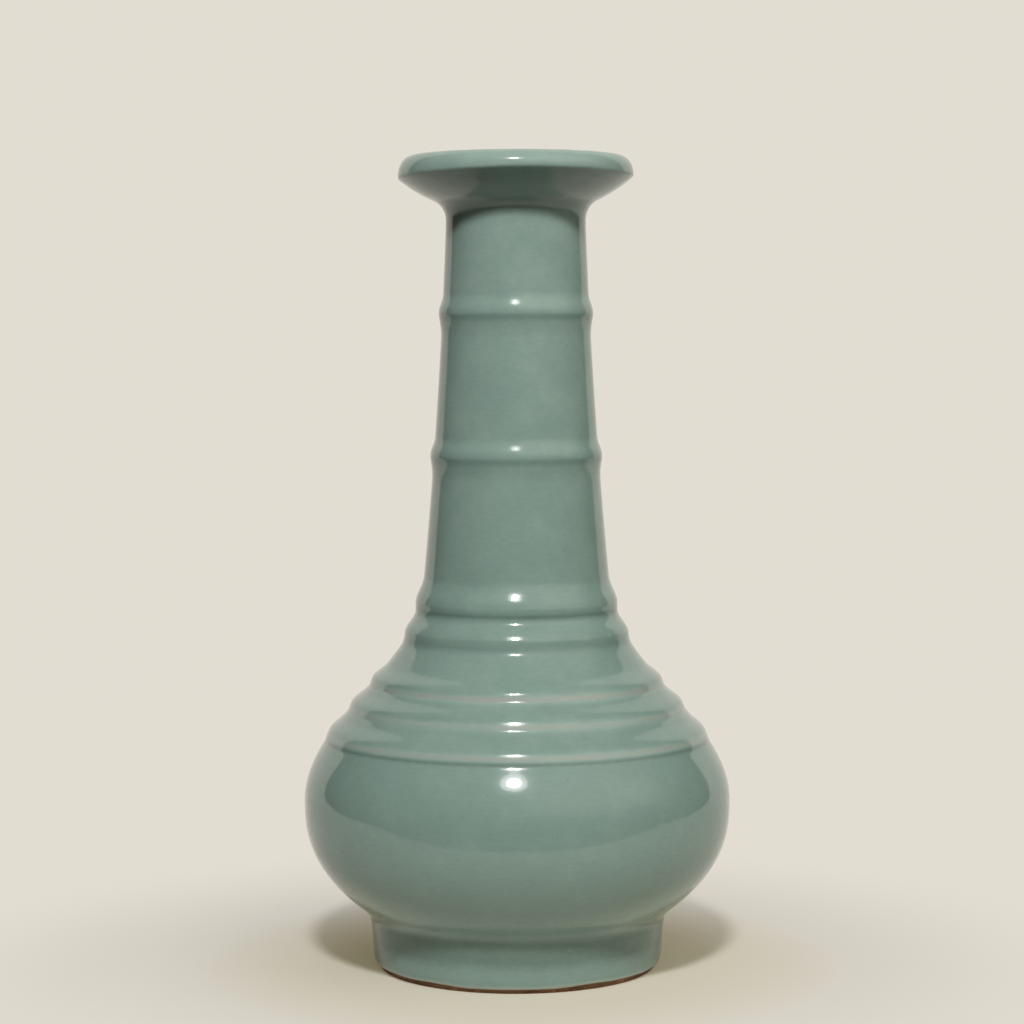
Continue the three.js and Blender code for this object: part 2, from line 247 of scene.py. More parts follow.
def smooth_radius(level):
    """Radius of the outside without ribs: foot, belly, shoulder or neck, by the level."""
    return np.select(
        [level < FOOT_HEIGHT, level < WIDEST_LEVEL, level < NECK_LEVEL],
        [foot_radius(level), belly_radius(level), shoulder_radius(level)],
        neck_radius(level),
    )


def rib_share(level, crest, up, down):
    """A rib of the shoulder: 1 on its crest, from there up a squared cosine, and down one less a power of
    the distance, which a hyperbola eases to zero in the notch."""
    away = np.abs(level - crest)
    above = np.cos(np.minimum(away / up, 1) * np.pi / 2) ** 2
    rest = 1 - (away / down) ** RIB_FALL
    under = (rest + np.hypot(rest, NOTCH_EASE)) / (1 + np.hypot(1, NOTCH_EASE))
    return np.where(level > crest, above, under)


def ring_share(level, crest, up, down):
    """A ring of the collar or a node of the neck: 1 on its rounded crest, from there up a power of the
    cosine, and down one less a sine, which is steepest at the crest."""
    away = np.hypot(level - crest, RING_ROUND) - RING_ROUND
    above = np.cos(np.minimum(away / up, 1) * np.pi / 2) ** RING_RISE
    under = 1 - np.sin(np.minimum(away / down, 1) * np.pi / 2)
    return np.where(level > crest, above, under)


def ridge_shares(level):
    """Shares of all ribs and rings, and their reliefs."""
    shares = [rib_share(level, crest, up, down) for crest, _, up, down, *_ in RIBS]
    shares += [ring_share(level, crest, up, down) for crest, _, up, down, *_ in RINGS]
    return shares, [ridge[1] for ridge in RIBS + RINGS]


def crease_pool(level):
    """Glaze in the crease: the parabola that rounds the kink between foot and belly."""
    foot_slope = FLARE_POWER * FOOT_FLARE / FOOT_HEIGHT
    belly_slope = BELLY_FULLNESS * (BELLY_RADIUS - FOOT_RADIUS - FOOT_FLARE) / BELLY_RISE
    inside = np.maximum(CREASE_POOL - np.abs(level - FOOT_HEIGHT), 0)
    return (belly_slope - foot_slope) / (4 * CREASE_POOL) * inside**2


def foot_run(level):
    """Glaze that ran down over the crease: most at the crease, and straight from there to nothing at the
    lower corner of the foot and a little way up the belly."""
    under = (level - CORNER_HEIGHT) / (FOOT_HEIGHT - CORNER_HEIGHT)
    over = 1 - (level - FOOT_HEIGHT) / FOOT_RUN_RISE
    return FOOT_RUN * np.clip(np.minimum(under, over), 0, 1)


def glazed_radius(level):
    """Radius of the glazed outside: the smooth outline, the ridges and the glaze in and round the
    crease."""
    relief = sum(height * share for share, height in zip(*ridge_shares(level)))
    return smooth_radius(level) + relief + crease_pool(level) + foot_run(level)


def outer_coat(level):
    """Thickness of the outer coat: thin by the largest ridge share, and thin towards the bare rim."""
    crest = np.max(ridge_shares(level)[0], axis=0)
    full = OUTER_COAT + (CREST_COAT - OUTER_COAT) * crest
    edge = EDGE_COAT + OUTER_COAT * np.maximum(level - GLAZE_LINE, 0) / CORNER_HEIGHT
    return np.minimum(full, edge)


def recess_radius(level):
    """Wall of the hollow under the foot: a cone that narrows upwards from the inner edge of the rim."""
    return foot_radius(0) - RIM_WIDTH - RECESS_TAPER * level / SEAT_LEVEL


def below(radius, level, depth):
    """Point at a depth below an outline, square to it at a level, as radius and level."""
    slope = (radius(level + SLOPE_STEP) - radius(level - SLOPE_STEP)) / (2 * SLOPE_STEP)
    length = np.hypot(1, slope)
    return np.stack([radius(level) - depth / length, level + depth * slope / length])


def spaced(low, high, step):
    """Values from low to high, about a step apart."""
    return np.linspace(low, high, max(2, math.ceil(abs(high - low) / step)) + 1)


def crowded(low, high):
    """Levels from low to high, crowded towards the notches and the crests of the rings: even steps in the
    running sum of a density that has a peak at each of them."""
    level = spaced(low, high, EDGE_STEP / 4)
    edges = np.array([rib[0] - rib[3] for rib in RIBS] + [ring[0] for ring in RINGS])[:, None]
    peaks = 1 / (1 + ((level - edges) / EDGE_SPREAD) ** 2)
    density = 1 / FINE_STEP + (1 / EDGE_STEP - 1 / FINE_STEP) * peaks.sum(axis=0)
    count = np.cumsum(density) * (level[1] - level[0])
    return np.interp(spaced(count[0], count[-1], 1), count, level)


def polar(centre, distance, angle):
    """Point at a distance from a centre, in the direction of an angle against the level."""
    return np.stack([centre[0] + distance * np.cos(angle), centre[1] + distance * np.sin(angle)])


def arc(centre, radius, start, end, step):
    """Points on an arc, about a step apart, as radius and level."""
    return polar(centre, radius, spaced(start, end, step / radius))


def straight(start, end, step):
    """Points on a straight line without its ends, about a step apart, as radius and level."""
    share = spaced(0, 1, step / math.dist(start, end))[1:-1]
    return np.outer(start, 1 - share) + np.outer(end, share)


def dish_arcs():
    """Centres of the dish's four arcs, each of which touches the next: fillet, swell, edge and lip. The
    angle at which the swell starts is the one that lets the fillet touch the upright top of the neck."""
    lip = np.array([MOUTH_RADIUS - LIP_ROLL, 0])
    edge = polar(lip, LIP_ROLL - LIP_EDGE, LIP_TURN)
    swell = polar(edge, LIP_EDGE - DISH_SWELL, EDGE_START)
    reach = DISH_SWELL + DISH_FILLET
    swell_start = -math.acos((NECK_TOP_RADIUS + DISH_FILLET - swell[0]) / reach)
    fillet = polar(swell, reach, swell_start)
    rise = np.array([0, FILLET_LEVEL - fillet[1]])
    return fillet + rise, swell + rise, edge + rise, lip + rise, swell_start


EDGE_START = DISH_SLOPE - math.pi / 2
FILLET_CENTRE, SWELL_CENTRE, EDGE_CENTRE, LIP_CENTRE, SWELL_START = dish_arcs()


def dish_underside(depth, lip_depth, step):
    """Underside of the dish from the neck to the lip's crest, at a depth below the glazed outside: the arcs
    of the fillet, the swell, the edge and the lip."""
    return np.hstack([
        arc(FILLET_CENTRE, DISH_FILLET + depth, np.pi, np.pi + SWELL_START, step),
        arc(SWELL_CENTRE, DISH_SWELL - depth, SWELL_START, EDGE_START, step)[:, 1:-1],
        arc(EDGE_CENTRE, LIP_EDGE - lip_depth, EDGE_START, LIP_TURN, step / 4),
        arc(LIP_CENTRE, LIP_ROLL - lip_depth, LIP_TURN, np.pi / 2, step / 2)[:, 1:],
    ])


def dish_inside(depth, lip_depth, step):
    """Inside of the dish from the bore to the lip's crest: the fillet's arc at a depth, a cone, and the
    lip's roll from where the swell at that depth would cross it."""
    roll = LIP_ROLL - lip_depth
    apart = SWELL_CENTRE - LIP_CENTRE
    distance = np.hypot(*apart)
    excess = distance**2 + roll**2 - (DISH_SWELL - depth) ** 2
    meeting = math.atan2(apart[1], apart[0]) + math.acos(excess / (2 * roll * distance))
    fillet = arc(FILLET_CENTRE, DISH_FILLET + depth, np.pi, np.pi + SWELL_START, step)
    lip = arc(LIP_CENTRE, roll, meeting, np.pi / 2, step / 2)
    return np.hstack([fillet, straight(fillet[:, -1], lip[:, 0], step), lip])


def inside_section(depth, belly_depth, lip_depth, step):
    """Inside from the centre of the floor to the lip's crest. Its depth grows from the neck to the floor as
    a squared cosine, and the floor curls up to the wall as a power of the radius."""
    level = spaced(FLOOR_LEVEL + 2 * belly_depth, FILLET_LEVEL, step)
    share = np.clip((level - FLOOR_LEVEL) / (NECK_LEVEL - FLOOR_LEVEL), 0, 1)
    wall = below(smooth_radius, level, depth + (belly_depth - depth) * np.cos(share * np.pi / 2) ** 2)
    floor_level = FLOOR_LEVEL + depth - CLAY_DEPTH
    across = spaced(0, 1, step / wall[0, 0])[:-1]
    floor = np.stack([across * wall[0, 0], floor_level + (wall[1, 0] - floor_level) * across**FLOOR_CURL])
    return np.hstack([floor, wall, dish_inside(depth, lip_depth, step)[:, 1:]])


def hand(level):
    """Unevenness of a hand-turned form in millimetres: slow waves round the axis that drift with the
    level."""
    return sum(
        height * np.sin(count * ANGLES + phase + level / drift)
        for count, height, phase, drift in HAND_WAVES
    )


def glaze_edge():
    """How far the lower edge of the glaze strays from its line: three waves round the foot."""
    waves = sum(height * np.sin(count * ANGLES + phase) for count, height, phase in GLAZE_EDGE_WAVES)
    return GLAZE_EDGE_RISE + waves


def dish_sag():
    """How far the underside of the dish hangs below its round form: two waves round it, so that it is full
    at both sides, and more so at one of them."""
    return DISH_SAG * (1 + np.cos(2 * ANGLES)) - DISH_LEAN * np.cos(ANGLES)


def sagged(dish):
    """The dish's section in every column, lowered by the sag, which grows with the radius from the neck to
    the lip and fades over the roll to its crest."""
    outwards = (dish[0] - NECK_TOP_RADIUS) / (MOUTH_RADIUS - NECK_TOP_RADIUS)
    under = np.clip((LIP_CENTRE[1] + LIP_ROLL - dish[1]) / LIP_ROLL, 0, 1)
    grid = around(dish)
    grid[1] -= (outwards * under)[:, None] * dish_sag()
    return grid


def edged(level):
    """Levels by row and column, drawn to the uneven edge of the glaze below the foot's corner."""
    near = np.maximum((CORNER_HEIGHT - level) / (CORNER_HEIGHT - GLAZE_LINE), 0)
    return level[:, None] + near[:, None] * glaze_edge()


def around(section):
    """A section repeated in every column."""
    return np.repeat(section[:, :, None], COLUMNS, axis=2)


def bulge(section):
    """Curvature along a section per millimetre, positive where it turns to the right of the way it runs:
    the change of heading over the length, softened over a few points."""
    run = np.gradient(section, axis=1)
    heading = np.unwrap(np.arctan2(run[1], run[0]))
    turn = -np.gradient(heading) / np.maximum(np.hypot(*run), SHORTEST_STEP)
    window = np.hanning(SOFTENED_POINTS)
    padded = np.pad(turn, SOFTENED_POINTS // 2, mode="edge")
    return np.convolve(padded, window / window.sum(), mode="valid")


def turned(name, grid, material, coat=None):
    """Closed skin of revolution from a grid of radius and level by row and column: rows follow the section,
    with air on their left, and columns go round. A section that starts on the axis ends on it too, each end
    in one vertex, and any other closes on itself. The coat is a thickness for each row, in places with
    painted shade added, which the glaze reads."""
    radius, level = grid
    rows = radius.shape[0]
    radius = radius + hand(level) * np.minimum(radius / FOOT_RADIUS, 1)
    place = np.stack([radius * np.cos(ANGLES), radius * np.sin(ANGLES), level], axis=2).reshape(-1, 3) * MM
    thickness = np.repeat(np.zeros(rows) if coat is None else coat, COLUMNS)
    index = np.arange(rows * COLUMNS).reshape(rows, COLUMNS)
    capped = grid[0, 0, 0] == 0
    if capped:
        kept = np.r_[COLUMNS - 1 : (rows - 1) * COLUMNS + 1]
        place, thickness = place[kept], thickness[kept]
        index = np.clip(index - COLUMNS + 1, 0, len(kept) - 1)
    else:
        index = np.vstack([index, index[:1]])
    beside = np.roll(index, -1, axis=1)
    rings = np.stack([index[:-1], index[1:], beside[1:], beside[:-1]], axis=2)
    if capped:
        caps = [*rings[0][:, :3].tolist(), *rings[-1][:, [0, 1, 3]].tolist()]
        faces = [*caps, *rings[1:-1].reshape(-1, 4).tolist()]
    else:
        faces = rings.reshape(-1, 4).tolist()
    mesh = bpy.data.meshes.new(name)
    mesh.from_pydata(place.tolist(), [], faces)
    mesh.attributes.new("coat", "FLOAT", "POINT").data.foreach_set("value", thickness.astype(np.float32))
    mesh.shade_smooth()
    mesh.set_sharp_from_angle(angle=SHARP_EDGE)
    mesh.materials.append(material)
    piece = bpy.data.objects.new(name, mesh)
    bpy.context.scene.collection.objects.link(piece)
    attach(piece, "root")
    return piece


def line(level, middle, half_height):
    """A soft line round the vase: a bell curve of the distance from its middle."""
    return np.exp(-(((level - middle) / half_height) ** 2))


def wall_coat(level):
    """How much thicker than usual the coat is down the outside as the colour reads it, as a sum of soft
    lines:
    thin on the roll of each rib; gathered above the notch under it and under each ring, as pooled glaze and
    painted shade together; painted shade on the foot; and thin at the lower edge."""
    thin = sum(THIN_LOSS * line(level, crest - drop, THIN_LINE) for crest, *_, drop in RIBS)
    # Pooled glaze and painted shade: a darker line above the notch under each rib and under each ring.
    notches = sum(
        gain * line(level, crest - NOTCH_DROP * down, NOTCH_LINE) for crest, _, _, down, gain, _ in RIBS
    )
    rings = sum(gain * line(level, crest - drop, RING_LINE) for crest, *_, gain, drop in RINGS)
    # Painted shade on the foot below the crease.
    foot = FOOT_PAINTED_SHADE * line(level, FOOT_HEIGHT - CORNER_HEIGHT, CORNER_HEIGHT)
    edge = OUTER_COAT * line(level, GLAZE_LINE, EDGE_LINE)
    return notches + rings + foot - thin - edge


def glaze_coat(material):
    """The coat of glaze: floor, bore, dish, lip and outside down to its uneven edge, then back along the
    clay. The coat that its colour reads grows towards the foot in proportion to the height, so that the
    glaze is darker towards the bottom, gains painted shade under the dish, and follows the lines of the
    outside."""
    inside = inside_section(BORE_DEPTH, CLAY_DEPTH + POOLED_COAT, 0, PLAIN_STEP)
    dish = dish_underside(0, 0, FINE_STEP)[:, -2::-1]
    levels = np.r_[
        GLAZE_LINE + EDGE_COAT * np.array(EDGE_ROWS),
        spaced(GLAZE_LINE + 2 * EDGE_COAT, FOOT_HEIGHT, FINE_STEP),
        spaced(FOOT_HEIGHT, WIDEST_LEVEL, PLAIN_STEP)[1:],
        crowded(WIDEST_LEVEL, COLLAR_LEVEL)[1:-1],
    ][::-1]
    depth = EDGE_COAT * np.clip(1 - (levels - GLAZE_LINE) / EDGE_COAT, 0, 1) ** 2
    wall = below(glazed_radius, edged(levels), depth[:, None])
    clay_levels = spaced(GLAZE_LINE, COLLAR_LEVEL, HIDDEN_STEP)
    clay_depth = outer_coat(clay_levels) + EDGE_COAT
    clay = below(glazed_radius, edged(clay_levels), clay_depth[:, None])
    clay_dish = dish_underside(OUTER_COAT, LIP_COAT, HIDDEN_STEP)
    clay_inside = inside_section(CLAY_DEPTH, CLAY_DEPTH + POOLED_COAT / 2, LIP_COAT, HIDDEN_STEP)[:, ::-1]
    height = np.r_[inside[1], dish[1], levels]
    # Darker towards the foot and paler towards the lip, in proportion to the height.
    run = DOWNWARD_DARKENING * (LIP_CENTRE[1] / 2 - height) / LIP_CENTRE[1]
    # Painted shade under the dish: coat added below the lip's edge, coming in above the start of the
    # fillet.
    inwards = np.clip((EDGE_CENTRE[1] - dish[1]) / LIP_EDGE, 0, 1)
    upwards = np.clip((dish[1] - FILLET_LEVEL - DISH_SHADE_START) / DISH_SHADE_RISE, 0, 1)
    gain = np.r_[np.zeros_like(inside[1]), DISH_PAINTED_SHADE * inwards * upwards, wall_coat(levels)]
    coat = np.clip(OUTER_COAT + run + gain, *COAT_RANGE)
    visible = [around(inside), sagged(dish), wall]
    hidden = [clay, around(clay_dish), around(clay_inside[:, 1:])]
    grid = np.concatenate(visible + hidden, axis=1)
    rows_hidden = grid.shape[1] - len(coat)
    return turned("glaze_coat", grid, material, np.r_[coat, np.full(rows_hidden, OUTER_COAT)])


def bare_foot(material):
    """The foot ring: up the wall of its hollow, across its top, down its outside under the glaze and over
    the bare rim, whose two edges are quarter rounds."""
    height = spaced(RIM_EASE, SEAT_LEVEL, PLAIN_STEP)
    recess = np.stack([recess_radius(height), height])
    levels = spaced(RIM_EASE, FOOT_HEIGHT - LUTE / 2, PLAIN_STEP / 2)[::-1]
    outside = below(foot_radius, levels, outer_coat(levels))
    outer_ease = arc((outside[0, -1] - RIM_EASE, RIM_EASE), RIM_EASE, 0, -np.pi / 2, RIM_EASE / 3)
    inner_ease = arc((recess[0, 0] + RIM_EASE, RIM_EASE), RIM_EASE, -np.pi / 2, -np.pi, RIM_EASE / 3)
    flat = straight(outer_ease[:, -1], inner_ease[:, 0], PLAIN_STEP)
    section = np.hstack([recess, outside, outer_ease[:, 1:], flat, inner_ease[:, :-1]])
    return turned("bare_foot", around(section), material)


def base_coat(material):
    """Glaze in the hollow of the foot: along the clay to its line, over a rounded edge and back along its
    face, which is rounded in the corner. Its coat gains with the curvature of a hollow."""
    corner = recess_radius(SEAT_LEVEL)
    end = recess_radius(BASE_GLAZE_LINE)
    fillet_centre = np.array([corner, RECESS_HEIGHT]) - BASE_COAT - CORNER_HEIGHT
    clay = np.array([
        (0, RECESS_HEIGHT), (corner, RECESS_HEIGHT), (corner, SEAT_LEVEL), (end, BASE_GLAZE_LINE),
    ]).T
    edge = np.array([
        (end - BASE_COAT / 2, BASE_GLAZE_LINE - BASE_COAT / 3), (end - BASE_COAT, BASE_GLAZE_LINE),
    ]).T
    fillet = arc(fillet_centre, CORNER_HEIGHT, 0, np.pi / 2, FINE_STEP)
    wall = straight(edge[:, -1], fillet[:, 0], PLAIN_STEP)
    roof = straight(fillet[:, -1], (0, fillet[1, -1]), PLAIN_STEP)
    section = np.hstack([clay, edge, wall, fillet, roof, [[0], [fillet[1, -1]]]])
    coat = np.clip(OUTER_COAT - POOLING * bulge(section), *COAT_RANGE)
    return turned("base_coat", around(section), material, coat)


def linear(hex_colour):
    """An sRGB hex value as linear red, green, blue and alpha."""
    channels = np.array([int(hex_colour[i : i + 2], 16) for i in (1, 3, 5)]) / 255
    low = channels / 12.92
    high = ((channels + 0.055) / 1.055) ** 2.4
    return (*np.where(channels <= 0.04045, low, high).tolist(), 1)


def add(tree, kind, inputs=None, stops=None, **settings):
    """Adds a node. Inputs are values or the outputs that feed them, stops are a colour ramp's positions and
    hex colours, and the rest are the node's own settings."""
    node = tree.nodes.new("ShaderNode" + kind)
    for name, value in settings.items():
        setattr(node, name, value)
    for name, value in (inputs or {}).items():
        if isinstance(value, bpy.types.NodeSocket):
            tree.links.new(value, node.inputs[name])
        else:
            node.inputs[name].default_value = value
    for i, (position, colour) in enumerate(stops or []):
        elements = node.color_ramp.elements
        element = elements[i] if i < 2 else elements.new(position)
        element.position = position
        element.color = linear(colour)
    return node


def blank(name):
    """A material with an empty node tree and its output."""
    material = bpy.data.materials.new(name)
    material.use_nodes = True
    tree = material.node_tree
    tree.nodes.clear()
    return material, tree, add(tree, "OutputMaterial")


def celadon_glaze():
    """Celadon: a thick glassy stoneware glaze, coloured grey-green by a little iron. The eye sees a clear
    gloss over a slight haze, a green that deepens where the glaze pooled and turns pale and greyish where
    it is thin, a faint cloudy mottle of fine bubbles, drawn out along the throwing lines, and a few dark
    iron specks."""
    material, tree, output = blank("celadon_glaze")
    place = add(tree, "TexCoord").outputs["Object"]
    # The coat holds the glaze's thickness and, in places, painted shade: under the dish, on the foot and in
    # the lines under the ribs and rings.
    coat = add(tree, "Attribute", attribute_name="coat").outputs["Fac"]
    cloud = add(tree, "TexNoise", {
        "Vector": place, "Scale": 1 / (GLAZE_CLOUD * MM), "Detail": 5, "Roughness": 0.62,
    })
    thickness = add(tree, "Math", {
        0: cloud.outputs["Fac"], 1: CLOUD_GAIN, 2: coat,
    }, operation="MULTIPLY_ADD")
    share = add(tree, "MapRange", {
        "Value": thickness.outputs[0], "From Min": SHADE_RANGE[0], "From Max": SHADE_RANGE[1],
    })
    body = add(tree, "ValToRGB", {"Fac": share.outputs[0]}, stops=[
        (0, "#8f7a58"), (0.08, "#988a6c"), (0.14, "#adb0a8"), (0.22, "#a3aba4"), (0.32, "#97aea5"),
        (0.43, "#8aa39a"), (0.53, "#809a91"), (0.75, "#779088"), (1, "#60786d"),
    ])
    drawn = add(tree, "VectorMath", {0: place, 1: BUBBLE_DRAW}, operation="MULTIPLY")
    bubbles = add(tree, "TexNoise", {
        "Vector": drawn.outputs["Vector"], "Scale": 1 / (GLAZE_BUBBLES * MM), "Detail": 3, "Roughness": 0.6,
    })
    mottle = add(tree, "ValToRGB", {"Fac": bubbles.outputs["Fac"]}, stops=[
        (0.25, "#6f7f77"), (0.75, "#92a39a"),
    ])
    mottled = add(tree, "Mix", {
        0: MOTTLE_SHARE, 6: body.outputs[0], 7: mottle.outputs[0],
    }, data_type="RGBA")
    cells = add(tree, "TexVoronoi", {"Vector": place, "Scale": 1 / (SPECK_SPACING * MM), "Randomness": 1})
    chosen = add(tree, "SeparateColor", {0: cells.outputs["Color"]})
    reach = add(tree, "MapRange", {
        "Value": chosen.outputs[0], "From Min": SPECKLESS, "From Max": 1,
        "To Min": 0, "To Max": SPECK_REACH,
    })
    speck = add(tree, "Math", {0: cells.outputs["Distance"], 1: reach.outputs[0]}, operation="LESS_THAN")
    speck_share = add(tree, "Math", {0: speck.outputs[0], 1: SPECK_SHARE}, operation="MULTIPLY")
    speckled = add(tree, "Mix", {
        0: speck_share.outputs[0], 6: mottled.outputs[2], 7: linear("#4c5248"),
    }, data_type="RGBA")
    gloss = add(tree, "MapRange", {
        "Value": cloud.outputs["Fac"], "From Min": 0.3, "From Max": 0.7, "To Min": 0.04, "To Max": 0.055,
    })
    ripple = add(tree, "TexNoise", {"Vector": place, "Scale": 1 / (GLAZE_RIPPLE * MM), "Detail": 2})
    bump = add(tree, "Bump", {"Strength": 0.12, "Distance": 0.12 * MM, "Height": ripple.outputs["Fac"]})
    shader = add(tree, "BsdfPrincipled", {
        "Base Color": speckled.outputs[2], "Roughness": gloss.outputs[0], "IOR": 1.45,
        "Coat Weight": 0.22, "Coat Roughness": 0.22, "Coat IOR": 1.45, "Normal": bump.outputs[0],
    })
    tree.links.new(shader.outputs[0], output.inputs[0])
    return material


def bare_stoneware():
    """Bare fired stoneware: iron-bearing clay that browned in the last of the firing. Matt and slightly
    sandy, with a tan to reddish brown skin and dark grit."""
    material, tree, output = blank("bare_stoneware")
    place = add(tree, "TexCoord").outputs["Object"]
    patches = add(tree, "TexNoise", {
        "Vector": place, "Scale": 1 / (CLAY_PATCH * MM), "Detail": 4, "Roughness": 0.6,
    })
    skin = add(tree, "ValToRGB", {"Fac": patches.outputs["Fac"]}, stops=[
        (0.3, "#5c4027"), (0.55, "#7c5836"), (0.75, "#987550"),
    ])
    grains = add(tree, "TexNoise", {
        "Vector": place, "Scale": 1 / (CLAY_GRAIN * MM), "Detail": 3, "Roughness": 0.7,
    })
    grit = add(tree, "ValToRGB", {"Fac": grains.outputs["Fac"]}, stops=[
        (0.36, "#3a2a1f"), (0.5, "#ffffff"),
    ])
    colour = add(tree, "Mix", {
        0: 0.6, 6: skin.outputs[0], 7: grit.outputs[0],
    }, data_type="RGBA", blend_type="MULTIPLY")
    bump = add(tree, "Bump", {"Strength": 0.6, "Distance": 0.2 * MM, "Height": grains.outputs["Fac"]})
    shader = add(tree, "BsdfPrincipled", {
        "Base Color": colour.outputs[2], "Roughness": 0.85, "IOR": 1.5, "Normal": bump.outputs[0],
    })
    tree.links.new(shader.outputs[0], output.inputs[0])
    return material


def fired_slip():
    """Slip in the joins: the same clay, finer and a little paler, with no grit."""
    material, tree, output = blank("fired_slip")
    place = add(tree, "TexCoord").outputs["Object"]
    patches = add(tree, "TexNoise", {"Vector": place, "Scale": 1 / (SLIP_PATCH * MM), "Detail": 3})
    skin = add(tree, "ValToRGB", {"Fac": patches.outputs["Fac"]}, stops=[
        (0.3, "#7c5f48"), (0.7, "#977a60"),
    ])
    bump = add(tree, "Bump", {"Strength": 0.3, "Distance": 0.2 * MM, "Height": patches.outputs["Fac"]})
    shader = add(tree, "BsdfPrincipled", {
        "Base Color": skin.outputs[0], "Roughness": 0.9, "IOR": 1.5, "Normal": bump.outputs[0],
    })
    tree.links.new(shader.outputs[0], output.inputs[0])
    return material


def backdrop_paper():
    """Matt cream paper. At the vase it is the floor that takes the shadow; there the backdrop's glow,
    yellow near the vase, lifts and warms that shadow as painted light. With the distance from the vase it
    turns into an even pale backdrop, as a smooth step, for the camera and the glaze. To the left, out of
    view, its colour darkens as painted shade."""
    material, tree, output = blank("backdrop_paper")
    point = add(tree, "TexCoord").outputs["Object"]
    place = add(tree, "SeparateXYZ", {0: point})
    distance = add(tree, "VectorMath", {0: point}, operation="LENGTH")
    far = add(tree, "MapRange", {
        "Value": distance.outputs["Value"], "From Min": PAPER_FADE[0], "From Max": PAPER_FADE[1],
        "To Min": PAPER_SHARE,
    }, interpolation_type="SMOOTHSTEP")
    path = add(tree, "LightPath").outputs
    glossy = add(tree, "Math", {0: path["Is Camera Ray"], 1: path["Is Glossy Ray"]}, operation="ADD")
    seen = add(tree, "Math", {
        0: glossy.outputs[0], 1: path["Is Transmission Ray"],
    }, operation="ADD", use_clamp=True)
    share = add(tree, "Math", {0: far.outputs[0], 1: seen.outputs[0]}, operation="MULTIPLY")
    # Painted warm light: the glow is yellow at the vase, where the shadow falls, and the backdrop's colour
    # further out.
    even = add(tree, "ValToRGB", {"Fac": distance.outputs["Value"]}, stops=[
        (PAINTED_SHADOW_TINT[0], "#d2c39a"), (PAINTED_SHADOW_TINT[1], "#e2dcd1"), (1, "#e2ddd2"),
    ])
    # Painted shade: the paper's colour darkens to the left.
    lit = add(tree, "MapRange", {
        "Value": place.outputs["X"], "From Min": PAPER_PAINTED_SHADE[0], "From Max": PAPER_PAINTED_SHADE[1],
    })
    cream = add(tree, "ValToRGB", {"Fac": lit.outputs[0]}, stops=[(0, "#75726c"), (1, "#e1ddd4")])
    paper = add(tree, "BsdfDiffuse", {"Color": cream.outputs[0]})
    backdrop = add(tree, "Emission", {"Color": even.outputs[0], "Strength": 1})
    mixed = add(tree, "MixShader", {0: share.outputs[0], 1: paper.outputs[0], 2: backdrop.outputs[0]})
    tree.links.new(mixed.outputs[0], output.inputs[0])
    return material


def surround_paint():
    """Even pale ground far round the studio, the colour of the lit paper."""
    material, tree, output = blank("surround_paint")
    shader = add(tree, "Emission", {"Color": linear("#dedacf"), "Strength": 1})
    tree.links.new(shader.outputs[0], output.inputs[0])
    return material


def sheet(name, place, material):
    """A stage surface from a grid of places by row and column."""
    rows, columns = place.shape[:2]
    index = np.arange(rows * columns).reshape(rows, columns)
    faces = np.stack([index[:-1, :-1], index[:-1, 1:], index[1:, 1:], index[1:, :-1]], axis=2)
    mesh = bpy.data.meshes.new(name)
    mesh.from_pydata(place.reshape(-1, 3).tolist(), [], faces.reshape(-1, 4).tolist())
    mesh.shade_smooth()
    mesh.materials.append(material)
    piece = bpy.data.objects.new(name, mesh)
    bpy.context.scene.collection.objects.link(piece)
    return piece


def studio_sweep():
    """Paper sweep: a floor whose front edge is part of an ellipse, ruled back to a cove of a quarter
    circle, and the wall above it."""
    across = np.linspace(-1, 1, STAGE_COLUMNS)
    turn = across * FLOOR_EDGE_TURN
    flat = np.zeros(STAGE_COLUMNS)
    half_width, depth, middle = FLOOR_EDGE
    front = np.stack([half_width * np.sin(turn), middle - depth * np.cos(turn), flat], axis=1)
    back = np.stack([WALL_HALF_WIDTH * across, flat + WALL_DISTANCE - COVE_RADIUS, flat], axis=1)
    share = np.linspace(0, 1, FLOOR_ROWS)[:, None, None]
    floor = front * (1 - share) + back * share
    angle = np.linspace(0, np.pi / 2, FLOOR_ROWS)[1:, None, None]
    cove = back + COVE_RADIUS * (np.sin(angle) * [0, 1, 0] + (1 - np.cos(angle)) * [0, 0, 1])
    wall = cove[-1:] + np.linspace(0, WALL_HEIGHT, WALL_ROWS)[1:, None, None] * [0, 0, 1]
    sheet("studio_sweep", np.concatenate([floor, cove, wall]), backdrop_paper())


def surround():
    """Pale ground and horizon round the sweep that only the camera sees: a flat ring with an upright
    wall."""
    angle = np.linspace(0, 2 * np.pi, STAGE_COLUMNS)
    radius = np.array([SURROUND_HOLE, SURROUND_RADIUS, SURROUND_RADIUS])[:, None]
    height = np.array([0, 0, SURROUND_RADIUS])[:, None] - SURROUND_DROP
    place = np.stack([radius * np.cos(angle), radius * np.sin(angle), height + 0 * angle], axis=2)
    ground = sheet("surround", place, surround_paint())
    ground.visible_glossy = False
    ground.visible_diffuse = False
    ground.visible_shadow = False


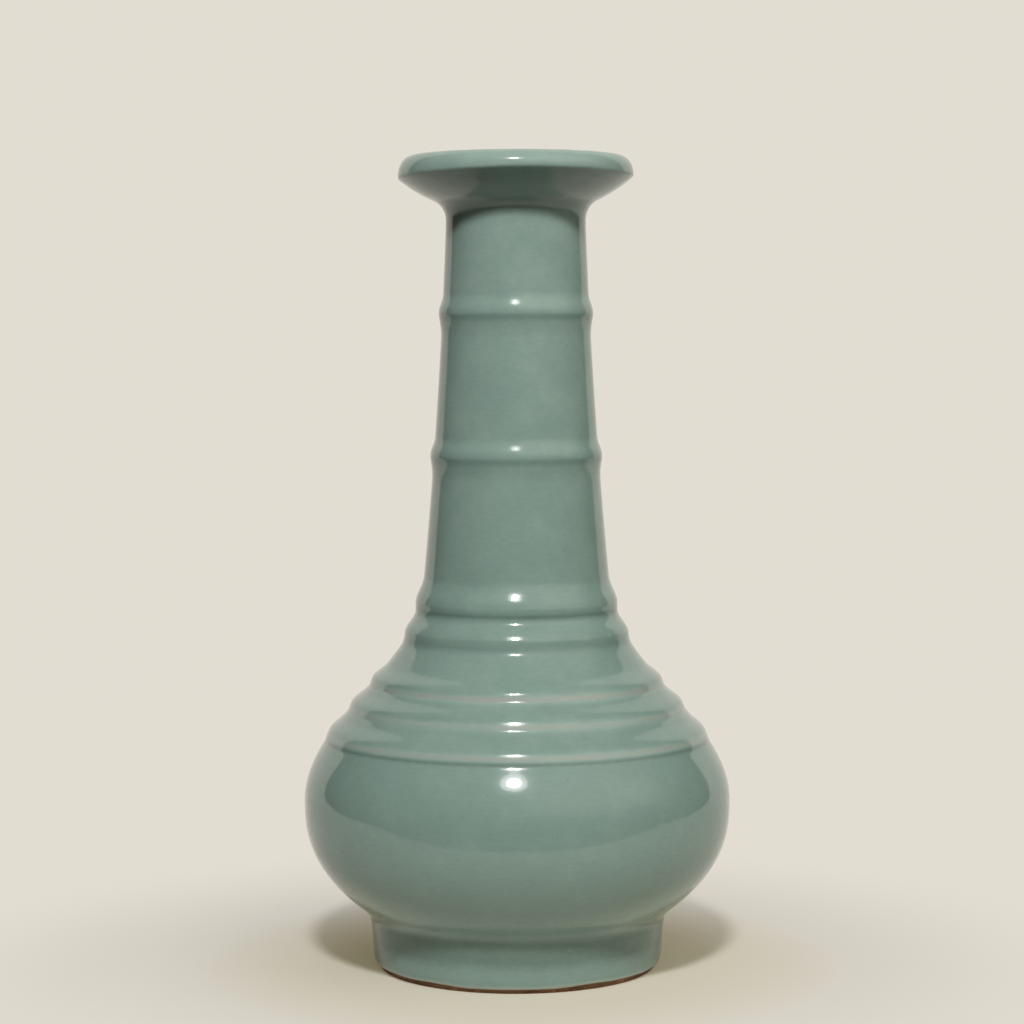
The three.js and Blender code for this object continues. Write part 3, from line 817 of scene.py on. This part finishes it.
def studio_light():
    """Key light high behind the camera, a small bright disc in a dimmer one, and a dim room that brightens
    overhead and towards the right, each as a smooth step of the direction."""
    for name, (diameter, watts) in KEY_LAMPS.items():
        lamp = bpy.data.lights.new(name, "AREA")
        lamp.shape = "DISK"
        lamp.size = diameter
        lamp.energy = watts
        lamp_object = bpy.data.objects.new(name, lamp)
        lamp_object.location = KEY_PLACE
        lamp_object.rotation_euler = (KEY_TILT, 0, 0)
        lamp_object.visible_camera = False
        bpy.context.scene.collection.objects.link(lamp_object)
    world = bpy.data.worlds.new("room")
    world.use_nodes = True
    tree = world.node_tree
    direction = add(tree, "TexCoord").outputs["Generated"]
    rise = add(tree, "SeparateXYZ", {0: direction}).outputs["Z"]
    overhead = add(tree, "MapRange", {
        "Value": rise, "From Min": OVERHEAD_RISE[0], "From Max": OVERHEAD_RISE[1],
        "To Min": ROOM_LEVEL, "To Max": OVERHEAD_LEVEL,
    }, interpolation_type="SMOOTHSTEP")
    above = add(tree, "MapRange", {
        "Value": rise, "From Min": SIDE_FOOT[0], "From Max": SIDE_FOOT[1], "To Max": SIDE_LEVEL,
    }, interpolation_type="SMOOTHSTEP")
    level = math.cos(SIDE_RISE)
    brightest = (level * math.sin(SIDE_TURN), -level * math.cos(SIDE_TURN), math.sin(SIDE_RISE))
    towards = add(tree, "VectorMath", {0: direction, 1: brightest}, operation="DOT_PRODUCT")
    side = add(tree, "MapRange", {
        "Value": towards.outputs["Value"], "From Min": math.cos(SIDE_REACH), "From Max": 1,
    }, interpolation_type="SMOOTHSTEP")
    strength = add(tree, "Math", {
        0: side.outputs[0], 1: above.outputs[0], 2: overhead.outputs[0],
    }, operation="MULTIPLY_ADD")
    background = tree.nodes["Background"]
    background.inputs["Color"].default_value = linear("#f5efdd")
    tree.links.new(strength.outputs[0], background.inputs["Strength"])
    bpy.context.scene.world = world


def studio_camera():
    """Camera in front of the vase, a little above its middle, looking slightly down."""
    camera = bpy.data.cameras.new("camera")
    camera.lens = CAMERA_LENS
    view = bpy.data.objects.new("camera", camera)
    view.location = CAMERA_PLACE
    view.rotation_euler = (math.pi / 2 - CAMERA_PITCH, CAMERA_ROLL, 0)
    bpy.context.scene.collection.objects.link(view)
    bpy.context.scene.camera = view


GLAZE = celadon_glaze()
STONEWARE = bare_stoneware()
SLIP = fired_slip()

# Pieces that stand for the coats and the foot
skin = glaze_coat(GLAZE)
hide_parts("outer_glaze", "inner_glaze")
foot = bare_foot(STONEWARE)
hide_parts("foot_ring")
base = base_coat(GLAZE)
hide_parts("base_glaze")

# Finish of the sections and joins under the glaze
for name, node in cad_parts.items():
    finish = SLIP if name.endswith("_lute") else STONEWARE
    for material_slot in node.material_slots:
        material_slot.material = finish

studio_sweep()
surround()
studio_light()
studio_camera()
bpy.context.scene.view_settings.view_transform = "Standard"
